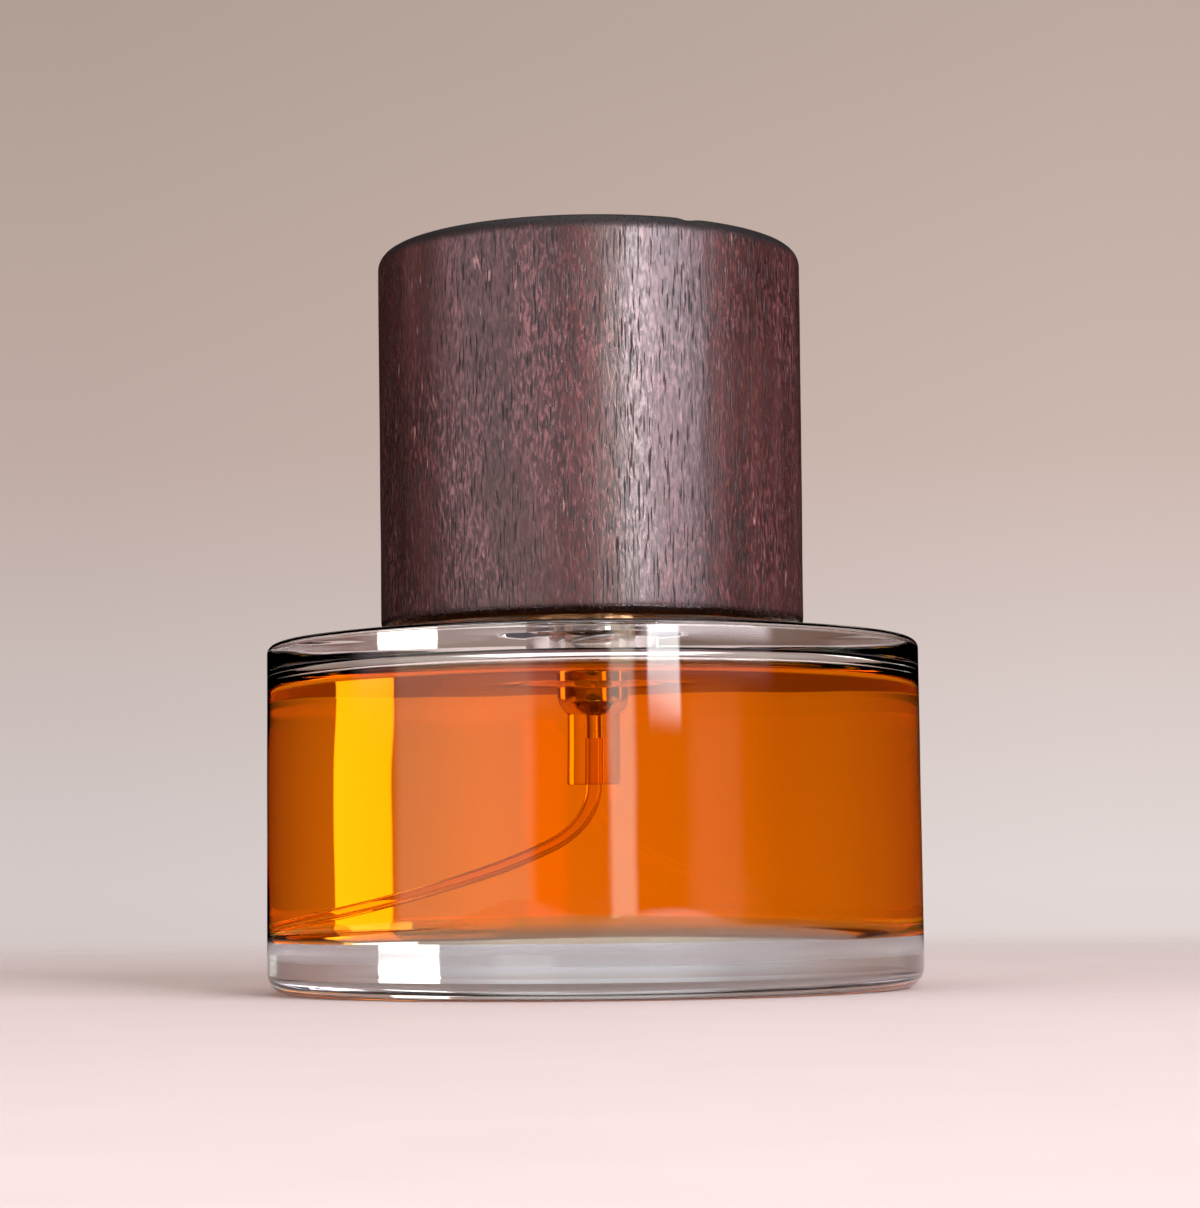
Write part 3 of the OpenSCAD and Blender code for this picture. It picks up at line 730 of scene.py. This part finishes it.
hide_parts("actuator_shell")

white_core = moulded(
    "button plastic", (0.8, 0.8, 0.78), (0.72, 0.72, 0.7), (0.88, 0.88, 0.87), 0.25, 0.4
)
black_nozzle = moulded(
    "nozzle plastic", (0.015, 0.015, 0.015), (0.022, 0.022, 0.022), (0.06, 0.06, 0.06), 0.2, 0.35
)
coat_node("actuator_core", white_core)
coat_node("nozzle_insert", black_nozzle)


# --- Wooden cap -------------------------------------------------------------------------------
# Dense dark hardwood, turned upright from one piece so that its grain runs up the side, stained
# and finished with a thin satin lacquer. The open pores break up the shine into fine streaks.
cap_low, cap_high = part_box("cap_wood")
cap_top_r = cap_high.x
cap_low_r = cap_top_r - 0.2 * mm
cap_top_round = 1.8 * mm
cap_low_round = 1.1 * mm
weight_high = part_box("cap_weight")[1]
cap_bore = weight_high.x + 0.1 * mm
bore_top = weight_high.z + 0.1 * mm

wood_line = [(0, cap_high.z)]
top_centre = (cap_top_r - cap_top_round, cap_high.z - cap_top_round)
low_centre = (cap_low_r - cap_low_round, cap_low.z + cap_low_round)
wood_line += climb(wood_line[-1], (top_centre[0], cap_high.z), 1.5 * mm)
wood_line += bend(top_centre, cap_top_round, 90, 0, 10)[1:]
wood_line += climb(wood_line[-1], (cap_low_r, low_centre[1]), 0.6 * mm)
wood_line += bend(low_centre, cap_low_round, 0, -90, 8)[1:]
mouth = 0.4 * mm
wood_line += climb(wood_line[-1], (cap_bore + mouth, cap_low.z), 2 * mm)
wood_line += [(cap_bore, cap_low.z + mouth), (cap_bore, bore_top), (0, bore_top)]
cap = turned("wooden_cap", wood_line, 320)


def weather(piece):
    """Slightly uneven turning, raised grain on the outside and a small nick in the top edge."""
    nick = Vector((11.0 * mm, -20.2 * mm, cap_high.z - 0.4 * mm))
    nick_depth, nick_size = 0.3 * mm, 1.0 * mm
    turning, raised_grain = 0.05 * mm, 0.03 * mm
    inner = cap_bore + 1 * mm
    for vertex in piece.data.vertices:
        p = vertex.co
        out = Vector((p.x, p.y, 0))
        if out.length < inner:
            continue
        slow = noise.noise(p / (14 * mm))
        grain = noise.noise(Vector((p.x / (0.9 * mm), p.y / (0.9 * mm), p.z / (9 * mm))))
        depth = turning * (1 - slow) + raised_grain * (1 - grain)
        vertex.co -= out.normalized() * depth
        vertex.co.z -= nick_depth * math.exp(-((p - nick).length / nick_size) ** 2)


weather(cap)


def wood_material():
    """Dark stained wood with wavy fibres, pores, paler flecks, a satin lacquer and painted shade on its
    rounded edges.
    """
    material, skin, _ = blank("dark stained wood")
    tree = material.node_tree
    nodes, links = tree.nodes, tree.links
    place = nodes.new("ShaderNodeTexCoord")

    def stretched(scale, source):
        node = nodes.new("ShaderNodeMapping")
        node.inputs["Scale"].default_value = scale
        links.new(source, node.inputs["Vector"])
        return node.outputs["Vector"]

    def cloud(vector, detail, distortion=0.0):
        node = nodes.new("ShaderNodeTexNoise")
        node.inputs["Scale"].default_value = 1
        node.inputs["Detail"].default_value = detail
        node.inputs["Distortion"].default_value = distortion
        links.new(vector, node.inputs["Vector"])
        return node.outputs["Fac"]

    def ramp(source, stops):
        node = ramp_node(nodes, stops)
        links.new(source, node.inputs["Fac"])
        return node.outputs["Color"]

    def blended(kind, factor, a, b):
        node = nodes.new("ShaderNodeMix")
        node.data_type = "RGBA"
        node.blend_type = kind
        for name, value in (("Factor", factor), ("A", a), ("B", b)):
            if isinstance(value, (int, float, tuple)):
                node.inputs[name].default_value = value
            else:
                links.new(value, node.inputs[name])
        return node.outputs["Result"]

    def spread(source, low, high, to_low=0.0, to_high=1.0):
        node = nodes.new("ShaderNodeMapRange")
        node.interpolation_type = "SMOOTHSTEP"
        node.inputs["From Min"].default_value = low
        node.inputs["From Max"].default_value = high
        node.inputs["To Min"].default_value = to_low
        node.inputs["To Max"].default_value = to_high
        links.new(source, node.inputs["Value"])
        return node.outputs["Result"]

    def figured(kind, a, b):
        node = nodes.new("ShaderNodeMath")
        node.operation = kind
        for i, value in enumerate((a, b)):
            if isinstance(value, (int, float)):
                node.inputs[i].default_value = value
            else:
                links.new(value, node.inputs[i])
        return node.outputs[0]

    # Fibres wander a little as they climb
    wander = nodes.new("ShaderNodeTexNoise")
    wander.inputs["Scale"].default_value = 260
    wander.inputs["Detail"].default_value = 3
    links.new(place.outputs["Object"], wander.inputs["Vector"])
    push = nodes.new("ShaderNodeVectorMath")
    push.operation = "MULTIPLY_ADD"
    push.inputs[1].default_value = (0.0011, 0.0011, 0)
    links.new(wander.outputs["Color"], push.inputs[0])
    links.new(place.outputs["Object"], push.inputs[2])
    bent = push.outputs["Vector"]

    fibres = cloud(stretched((3300, 3300, 820), bent), 3, 0.4)
    pores = cloud(stretched((4600, 4600, 330), place.outputs["Object"]), 1)
    bands = cloud(stretched((170, 170, 18), bent), 4, 0.8)
    patches = cloud(stretched((95, 95, 60), place.outputs["Object"]), 4)
    flecks = cloud(stretched((1500, 1500, 300), bent), 1)

    base = ramp(
        bands,
        [(0.3, (0.030, 0.011, 0.0095)), (0.52, (0.058, 0.021, 0.019)), (0.75, (0.09, 0.035, 0.033))],
    )
    figure = ramp(fibres, [(0.36, (0.3, 0.28, 0.3)), (0.5, (0.9, 0.88, 0.9)), (0.66, (2.5, 2.8, 3.1))])
    strength = spread(patches, 0.36, 0.62, 0.35, 1.0)
    colour = blended("MIX", strength, base, blended("MULTIPLY", 1.0, base, figure))
    dark = spread(pores, 0.32, 0.40)
    colour = blended("MIX", dark, (0.008, 0.004, 0.004, 1), colour)
    pale = figured("MULTIPLY", spread(flecks, 0.72, 0.78), 0.8)
    colour = blended("MIX", pale, colour, (0.27, 0.15, 0.13, 1))

    # Painted shade: the rounded top and bottom edges are darkened in colour, standing in for the dark
    # they face
    split = nodes.new("ShaderNodeSeparateXYZ")
    links.new(place.outputs["Object"], split.inputs["Vector"])
    from_low = spread(split.outputs["Z"], cap_low.z + 0.5 * mm, cap_low.z + 1.5 * mm)
    from_top = spread(split.outputs["Z"], cap_high.z - 0.9 * mm, cap_high.z - 2.1 * mm)
    edge = figured("MULTIPLY", from_low, from_top)
    colour = blended("MIX", edge, blended("MULTIPLY", 1.0, colour, (0.08, 0.06, 0.06, 1)), colour)
    links.new(colour, skin.inputs["Base Color"])

    rough = figured("ADD", spread(fibres, 0.35, 0.65, 0.38, 0.22), spread(dark, 0.0, 1.0, 0.4, 0.0))
    rough = figured("ADD", rough, spread(from_top, 0.0, 1.0, 0.3, 0.0))
    rough = figured("MULTIPLY", rough, spread(from_low, 0.0, 1.0, 0.5, 1.0))
    # The flat underside is lacquered smooth, so that it mirrors the collar
    calm = spread(split.outputs["Z"], cap_low.z + 0.05 * mm, cap_low.z + 0.25 * mm)
    links.new(figured("MULTIPLY", rough, spread(calm, 0.0, 1.0, 0.12, 1.0)), skin.inputs["Roughness"])
    skin.inputs["Specular IOR Level"].default_value = 0.5

    height = figured("ADD", figured("MULTIPLY", fibres, 0.6), figured("MULTIPLY", dark, 0.5))
    raise_surface(material, skin, figured("MULTIPLY", height, calm), 0.6, 0.08 * mm)
    return material


cap.data.materials.append(wood_material())
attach(cap, "cap")
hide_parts("cap_wood")


# --- Cap lining and weight --------------------------------------------------------------------
# The black lining is glued into the bore. Its inner ribs grip the collar, its outer ribs hold it
# straight, and a steel disc above it gives the cap its heft.
liner_black = moulded(
    "lining plastic", (0.014, 0.013, 0.013), (0.022, 0.02, 0.02), (0.05, 0.05, 0.05), 0.4, 0.6
)
turned_steel = moulded(
    "weight steel", (0.42, 0.43, 0.45), (0.33, 0.34, 0.36), (0.55, 0.55, 0.56), 0.3, 0.5, 1
)
coat_node("cap_liner", liner_black)
coat_node("cap_weight", turned_steel)


# --- Studio -----------------------------------------------------------------------------------
# A pale floor that fades into a soft warm backdrop, a dim room in front, tall soft panels for the
# shine on glass and wood, and panels behind that light up the liquid.
def floor_material():
    """Matt pale paper that fades out towards its edge."""
    material, skin, out = blank("pale floor")
    nodes, links = material.node_tree.nodes, material.node_tree.links
    skin.inputs["Roughness"].default_value = 0.7
    skin.inputs["Specular IOR Level"].default_value = 0.2
    place = nodes.new("ShaderNodeTexCoord")
    fibre = nodes.new("ShaderNodeTexNoise")
    fibre.inputs["Scale"].default_value = 60
    tone = ramp_node(nodes, [(0, (0.62, 0.565, 0.545)), (1, (0.67, 0.61, 0.59))])
    reach = nodes.new("ShaderNodeVectorMath")
    reach.operation = "LENGTH"
    fade = nodes.new("ShaderNodeMapRange")
    fade.interpolation_type = "SMOOTHERSTEP"
    fade.inputs["From Min"].default_value = 0.40
    fade.inputs["From Max"].default_value = 0.78
    gone = nodes.new("ShaderNodeBsdfTransparent")
    mix = nodes.new("ShaderNodeMixShader")
    links.new(place.outputs["Object"], fibre.inputs["Vector"])
    links.new(fibre.outputs["Fac"], tone.inputs["Fac"])
    links.new(tone.outputs["Color"], skin.inputs["Base Color"])
    links.new(place.outputs["Object"], reach.inputs[0])
    links.new(reach.outputs["Value"], fade.inputs["Value"])
    links.new(fade.outputs["Result"], mix.inputs["Fac"])
    links.new(skin.outputs["BSDF"], mix.inputs[1])
    links.new(gone.outputs["BSDF"], mix.inputs[2])
    links.new(mix.outputs["Shader"], out.inputs["Surface"])
    return material


floor_r = 1.1
floor_sides = 96
turns = [math.tau * k / floor_sides for k in range(floor_sides)]
rim = [(floor_r * math.cos(turn), floor_r * math.sin(turn), 0) for turn in turns]
floor_mesh = bpy.data.meshes.new("floor")
floor_mesh.from_pydata(rim, [], [list(range(floor_sides))])
floor = bpy.data.objects.new("floor", floor_mesh)
floor.location = (0, -0.35, 0)
bpy.context.collection.objects.link(floor)
floor.data.materials.append(floor_material())


world = bpy.data.worlds.new("studio")
bpy.context.scene.world = world
world.use_nodes = True
world_nodes, world_links = world.node_tree.nodes, world.node_tree.links
world_nodes.clear()


def world_node(kind, inputs, **settings):
    """A node of the backdrop; each of its inputs takes a number, a colour or a link."""
    node = world_nodes.new(kind)
    for name, value in settings.items():
        setattr(node, name, value)
    for name, value in inputs.items():
        if isinstance(value, bpy.types.NodeSocket):
            world_links.new(value, node.inputs[name])
        else:
            node.inputs[name].default_value = value
    return node


def sum_of(kind, a, b):
    """The result of one sum in the backdrop."""
    return world_node("ShaderNodeMath", {0: a, 1: b}, operation=kind).outputs[0]


def blend_of(kind, factor, a, b):
    """Two backdrop colours mixed in one of Blender's ways."""
    inputs = {"Factor": factor, "A": a, "B": b}
    return world_node("ShaderNodeMix", inputs, data_type="RGBA", blend_type=kind).outputs["Result"]


def eased(source, low, high, most=1.0):
    """How far a value has gone from low to high, starting and stopping softly."""
    inputs = {"Value": source, "From Min": low, "From Max": high, "To Max": most}
    node = world_node("ShaderNodeMapRange", inputs, interpolation_type="SMOOTHSTEP")
    return node.outputs["Result"]


def along_axis(source, stops):
    """A colour by direction: the stops run from fully backwards (0) to fully forwards (1)."""
    share = world_node("ShaderNodeMapRange", {"Value": source, "From Min": -1}).outputs["Result"]
    node = ramp_node(world_nodes, stops)
    world_links.new(share, node.inputs["Fac"])
    return node.outputs["Color"]


aim = world_node("ShaderNodeTexCoord", {})
split = world_node("ShaderNodeSeparateXYZ", {"Vector": aim.outputs["Generated"]})
path = world_node("ShaderNodeLightPath", {})
direct = path.outputs["Is Camera Ray"]

# Seen straight on, the backdrop is pale all round and down to the floor
lowest = world_node("ShaderNodeMapRange", {"Value": direct, "To Min": -1, "To Max": -0.02})
rise = along_axis(sum_of("MAXIMUM", split.outputs["Z"], lowest.outputs["Result"]), [
    (0.474, (0.20, 0.13, 0.10)),
    (0.484, (0.70, 0.62, 0.60)),
    (0.50, (0.72, 0.64, 0.625)),
    (0.5135, (0.69, 0.61, 0.59)),
    (0.57, (0.57, 0.445, 0.40)),
    (0.633, (0.485, 0.38, 0.33)),
    (0.76, (0.36, 0.29, 0.26)),
])
depth = along_axis(split.outputs["Y"], [
    (0.0, (0.12, 0.10, 0.10)),
    (0.5, (0.16, 0.12, 0.11)),
    (0.77, (0.50, 0.32, 0.28)),
    (0.87, (0.66, 0.45, 0.40)),
    (0.93, (0.83, 0.65, 0.60)),
    (0.985, (1.0, 1.0, 1.0)),
])
across = along_axis(split.outputs["X"], [
    (0.0, (0.80, 0.80, 0.80)),
    (0.42, (0.86, 0.86, 0.86)),
    (0.58, (1.0, 1.0, 1.0)),
])

# The room is dim in front and bright overhead, and a little brighter through the glass
inside = sum_of("GREATER_THAN", path.outputs["Transmission Depth"], 0.5)
above_inside = sum_of("MULTIPLY", eased(split.outputs["Z"], 0.08, 0.35, 0.6), inside)
lifted = sum_of("MAXIMUM", above_inside, eased(split.outputs["Z"], 0.35, 0.75))
room = blend_of("MIX", lifted, depth, (1.2, 1.2, 1.2, 1))
room = blend_of("MIX", direct, room, (1, 1, 1, 1))
backdrop = blend_of("MULTIPLY", 1, blend_of("MULTIPLY", 1, rise, room), across)

# It shows through the glass and inside it, but doesn't veil what shines outside it
veil = sum_of("MULTIPLY", path.outputs["Is Glossy Ray"], sum_of("SUBTRACT", 1, inside))
strength = sum_of("MULTIPLY", sum_of("SUBTRACT", 1, veil), 1.07)
glow = world_node("ShaderNodeBackground", {"Color": backdrop, "Strength": strength})
world_node("ShaderNodeOutputWorld", {"Surface": glow.outputs["Background"]})


def soft_edge_group():
    """How bright a panel is at each place, falling off softly towards its four edges."""
    group = bpy.data.node_groups.new("soft edges", "ShaderNodeTree")
    socket(group, "Sides", "NodeSocketFloat", "INPUT", 0.2)
    socket(group, "Foot", "NodeSocketFloat", "INPUT", 0.1)
    socket(group, "Head", "NodeSocketFloat", "INPUT", 0.1)
    socket(group, "Fade", "NodeSocketFloat", "OUTPUT")
    nodes, links = group.nodes, group.links
    ins = nodes.new("NodeGroupInput")
    outs = nodes.new("NodeGroupOutput")
    place = nodes.new("ShaderNodeTexCoord")
    split = nodes.new("ShaderNodeSeparateXYZ")
    links.new(place.outputs["UV"], split.inputs["Vector"])
    left = None
    for axis, flip, name in (("X", 0, "Sides"), ("X", 1, "Sides"), ("Y", 0, "Foot"), ("Y", 1, "Head")):
        fade = nodes.new("ShaderNodeMapRange")
        fade.interpolation_type = "SMOOTHSTEP"
        source = split.outputs[axis]
        if flip:
            away = nodes.new("ShaderNodeMapRange")
            away.inputs["To Min"].default_value = 1
            away.inputs["To Max"].default_value = 0
            links.new(source, away.inputs["Value"])
            source = away.outputs["Result"]
        links.new(source, fade.inputs["Value"])
        links.new(ins.outputs[name], fade.inputs["From Max"])
        if left:
            times = nodes.new("ShaderNodeMath")
            times.operation = "MULTIPLY"
            links.new(left, times.inputs[0])
            links.new(fade.outputs["Result"], times.inputs[1])
            left = times.outputs[0]
        else:
            left = fade.outputs["Result"]
    links.new(left, outs.inputs["Fade"])
    return group


soft_edges = soft_edge_group()


def panel(name, azimuth, distance, width, low, high, shine, edges, colour=(1, 1, 1), unseen=()):
    """An upright soft panel that faces the bottle; azimuth in degrees to the camera's right."""
    mesh = bpy.data.meshes.new(name)
    half = width / 2
    rim = [(-half, 0, low), (half, 0, low), (half, 0, high), (-half, 0, high)]
    mesh.from_pydata(rim, [], [(0, 1, 2, 3)])
    corners = mesh.uv_layers.new(name="across")
    corners.data.foreach_set("uv", [0, 0, 1, 0, 1, 1, 0, 1])
    material = bpy.data.materials.new(name)
    material.use_nodes = True
    nodes, links = material.node_tree.nodes, material.node_tree.links
    nodes.clear()
    out = nodes.new("ShaderNodeOutputMaterial")
    shining = nodes.new("ShaderNodeEmission")
    shining.inputs["Color"].default_value = (*colour, 1)
    fade = place_group(material, soft_edges, dict(zip(("Sides", "Foot", "Head"), edges)))
    power = nodes.new("ShaderNodeMath")
    power.operation = "MULTIPLY"
    power.inputs[1].default_value = shine
    links.new(fade.outputs["Fade"], power.inputs[0])
    links.new(power.outputs[0], shining.inputs["Strength"])
    through = nodes.new("ShaderNodeBsdfTransparent")
    both = nodes.new("ShaderNodeAddShader")
    links.new(shining.outputs["Emission"], both.inputs[0])
    links.new(through.outputs["BSDF"], both.inputs[1])
    links.new(both.outputs["Shader"], out.inputs["Surface"])
    mesh.materials.append(material)
    sheet = bpy.data.objects.new(name, mesh)
    turn = math.radians(azimuth)
    place = Matrix.Translation((distance * math.sin(turn), -distance * math.cos(turn), 0))
    sheet.matrix_world = place @ Matrix.Rotation(turn, 4, "Z")
    for way in ("camera", "shadow", *unseen):
        setattr(sheet, "visible_" + way, False)
    bpy.context.collection.objects.link(sheet)
    return sheet


window_sides = (0.12, 0.05, 0.3)
soft_sides = (0.25, 0.1, 0.3)
strip_sides = (0.25, 0.05, 0.3)
panel("left wall", -45, 0.9, 0.92, -0.05, 0.15, 1.45, (0.1, 0.05, 0.3), (1.0, 0.97, 0.75))
panel("upper left wall", -49, 0.9, 1.7, 0.08, 0.7, 2.2, soft_sides, (1.0, 0.82, 0.93))
panel("right strip", 9.5, 0.8, 0.15, -0.08, 0.5, 4.2, strip_sides, (1.0, 1.0, 0.82))
panel("right window", 23.5, 0.8, 0.17, 0.066, 0.5, 14.0, window_sides, unseen=["transmission"])
panel("right wall", 41, 1.0, 0.42, -0.05, 0.12, 0.35, strip_sides)
panel("key", 39, 0.8, 0.76, 0.08, 0.75, 9.4, (0.14, 0.12, 0.3), (1.0, 0.88, 0.98))
back_sides = (0.04, 0.05, 0.2)
panel("back right", 159, 0.8, 0.135, -0.08, 0.5, 2.3, back_sides, (1.0, 0.98, 0.9), ["glossy"])
panel("back card", 180, 0.9, 0.5, -0.05, 0.4, 0.22, (0.3, 0.1, 0.3), unseen=["glossy"])
fill_colour = (1.0, 0.9, 0.85)
fill_unseen = ["glossy", "transmission"]
panel("left fill", -95, 0.9, 0.8, 0.05, 0.6, 2.0, soft_sides, fill_colour, fill_unseen)

overhead = panel("overhead", 0, 0, 0.8, -0.4, 0.4, 1.6, (0.2, 0.2, 0.2))
overhead.matrix_world = Matrix.Translation((0, 0, 0.8)) @ Matrix.Rotation(math.pi / 2, 4, "X")


# --- Camera -----------------------------------------------------------------------------------
# Low, just above the floor and looking slightly up, with a short telephoto lens. It is turned and
# rolled by a fraction of a degree. Light may pass many surfaces, because the glass is thick.
camera_place = (0, -0.3472, 0.0117)
look_up = 5.24
look_right = 0.148
lean_over = 0.62
camera_data = bpy.data.cameras.new("camera")
camera_data.sensor_width = 36
camera_data.lens = 91.4
camera_data.clip_start = 0.01
camera = bpy.data.objects.new("camera", camera_data)
bpy.context.collection.objects.link(camera)
tilt = Matrix.Rotation(math.radians(90 + look_up), 4, "X")
swing = Matrix.Rotation(math.radians(-look_right), 4, "Z")
roll = Matrix.Rotation(math.radians(-lean_over), 4, "Z")
camera.matrix_world = Matrix.Translation(camera_place) @ swing @ tilt @ roll
bpy.context.scene.camera = camera

scene = bpy.context.scene
scene.view_settings.view_transform = "Standard"
scene.cycles.max_bounces = 32
scene.cycles.transmission_bounces = 32
scene.cycles.transparent_max_bounces = 16
